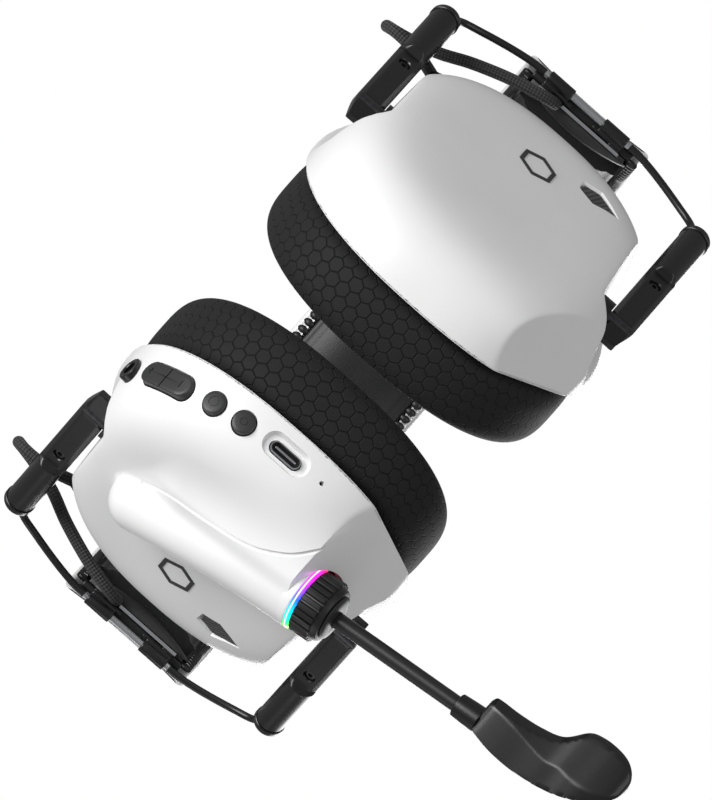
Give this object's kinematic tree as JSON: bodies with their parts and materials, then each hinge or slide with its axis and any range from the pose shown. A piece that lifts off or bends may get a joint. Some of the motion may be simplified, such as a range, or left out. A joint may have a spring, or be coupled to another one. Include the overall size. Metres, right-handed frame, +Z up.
{
  "type": "gaming headset",
  "caption": "Over-ear wireless gaming headset: white cups on wire yokes with lean-in arms, mesh ear pads, ribbed headband, knurled dial and retractable boom microphone.",
  "frame": {"origin": "middle of the headband's underside, where it rests on the crown of the head", "axes": "+X to the wearer's left (the microphone cup), -Y to the front, +Z up"},
  "size_m": [0.1744, 0.1677, 0.2107],
  "materials": {
    "white_plastic": "satin",
    "black_plastic": "satin",
    "grey_plastic": "matte",
    "rib_rubber": "satin",
    "spring_steel": "brushed",
    "hinge_steel": "polished",
    "leatherette": "soft satin",
    "pad_mesh": "woven mesh",
    "liner_mesh": "open mesh",
    "lead_braid": "braided",
    "steel_mesh": "fine mesh",
    "board_green": "glossy",
    "cell_silver": "satin",
    "light_diffuser": "frosted"
  },
  "bodies": {
    "headband": {"headband_shell": "white_plastic", "spring_band": "spring_steel", "head_cushion": "leatherette", "front_rib_strip": "rib_rubber", "rear_rib_strip": "rib_rubber", "left_band_end": "grey_plastic", "right_band_end": "grey_plastic"},
    "left_slider": {"left_slider_blade": "spring_steel", "left_wire_clips": "black_plastic", "left_upper_lead": "lead_braid"},
    "left_yoke": {"left_hinge_rod": "hinge_steel", "left_wires": "black_plastic", "left_front_arm": "black_plastic", "left_rear_arm": "black_plastic", "left_arm_screws": "spring_steel", "left_pivot_pins": "spring_steel", "left_lower_lead": "lead_braid"},
    "left_cup": {"left_shell": "white_plastic", "left_baffle": "grey_plastic", "left_driver": "spring_steel", "left_ear_pad": "pad_mesh", "left_pad_liner": "liner_mesh", "left_pivot_bushes": "grey_plastic", "left_face_grille": "steel_mesh", "left_cup_grommet": "black_plastic", "circuit_board": "board_green", "usb_port": "hinge_steel", "audio_jack": "black_plastic", "light_ring": "light_diffuser", "dial_hub": "white_plastic"},
    "right_slider": {"right_slider_blade": "spring_steel", "right_wire_clips": "black_plastic", "right_upper_lead": "lead_braid"},
    "right_yoke": {"right_hinge_rod": "hinge_steel", "right_wires": "black_plastic", "right_front_arm": "black_plastic", "right_rear_arm": "black_plastic", "right_arm_screws": "spring_steel", "right_pivot_pins": "spring_steel", "right_lower_lead": "lead_braid"},
    "right_cup": {"right_shell": "white_plastic", "right_baffle": "grey_plastic", "right_driver": "spring_steel", "right_ear_pad": "pad_mesh", "right_pad_liner": "liner_mesh", "right_pivot_bushes": "grey_plastic", "right_face_grille": "steel_mesh", "right_cup_grommet": "black_plastic", "battery": "cell_silver"},
    "rocker": {"volume_rocker": "grey_plastic"},
    "power": {"power_button": "grey_plastic"},
    "mode": {"mode_button": "grey_plastic"},
    "dial": {"dial": "black_plastic"},
    "boom": {"boom_tube": "black_plastic", "boom_collar": "black_plastic"},
    "pod": {"mic_pod": "black_plastic", "mic_capsule": "steel_mesh"}
  },
  "joints": [
    {"name": "left_slide", "type": "slide", "parent": "headband", "child": "left_slider", "axis": [0, 0, -1], "range_m": [0, 0.02]},
    {"name": "left_swing", "type": "hinge", "parent": "left_slider", "child": "left_yoke", "pos_m": [0.0856, 0, -0.097], "axis": [0, -1, 0], "range_deg": [0, 20], "deforming": ["left_upper_lead"]},
    {"name": "left_tilt", "type": "hinge", "parent": "left_yoke", "child": "left_cup", "pos_m": [0.05, 0, -0.144], "axis": [0, -1, 0], "range_deg": [-2, 25], "deforming": ["left_lower_lead"]},
    {"name": "right_slide", "type": "slide", "parent": "headband", "child": "right_slider", "axis": [0, 0, -1], "range_m": [0, 0.02]},
    {"name": "right_swing", "type": "hinge", "parent": "right_slider", "child": "right_yoke", "pos_m": [-0.0856, 0, -0.097], "axis": [0, 1, 0], "range_deg": [0, 20], "deforming": ["right_upper_lead"]},
    {"name": "right_tilt", "type": "hinge", "parent": "right_yoke", "child": "right_cup", "pos_m": [-0.05, 0, -0.144], "axis": [0, 1, 0], "range_deg": [-2, 25], "deforming": ["right_lower_lead"]},
    {"name": "rocker_tilt", "type": "hinge", "parent": "left_cup", "child": "rocker", "pos_m": [0.0321, 0.0332, -0.17593], "axis": [0.9613, 0, -0.2756], "range_deg": [-3, 3], "stiffness_Nm_per_rad": 0.6},
    {"name": "power_press", "type": "slide", "parent": "left_cup", "child": "power", "axis": [0.2533, -0.3943, 0.8834], "range_m": [0, 0.0006], "stiffness_N_per_m": 400},
    {"name": "mode_press", "type": "slide", "parent": "left_cup", "child": "mode", "axis": [0.2709, -0.1849, 0.9447], "range_m": [0, 0.0006], "stiffness_N_per_m": 400},
    {"name": "dial_turn", "type": "hinge", "parent": "left_cup", "child": "dial", "pos_m": [0.0492, -0.0318, -0.174], "axis": [-0.1098, -0.9641, -0.2419], "continuous": true},
    {"name": "boom_slide", "type": "slide", "parent": "left_cup", "child": "boom", "axis": [0.1098, 0.9641, 0.2419], "range_m": [0, 0.028]},
    {"name": "pod_twist", "type": "hinge", "parent": "boom", "child": "pod", "pos_m": [0.0492, -0.0318, -0.174], "axis": [-0.1098, -0.9641, -0.2419], "range_deg": [-60, 60]}
  ]
}
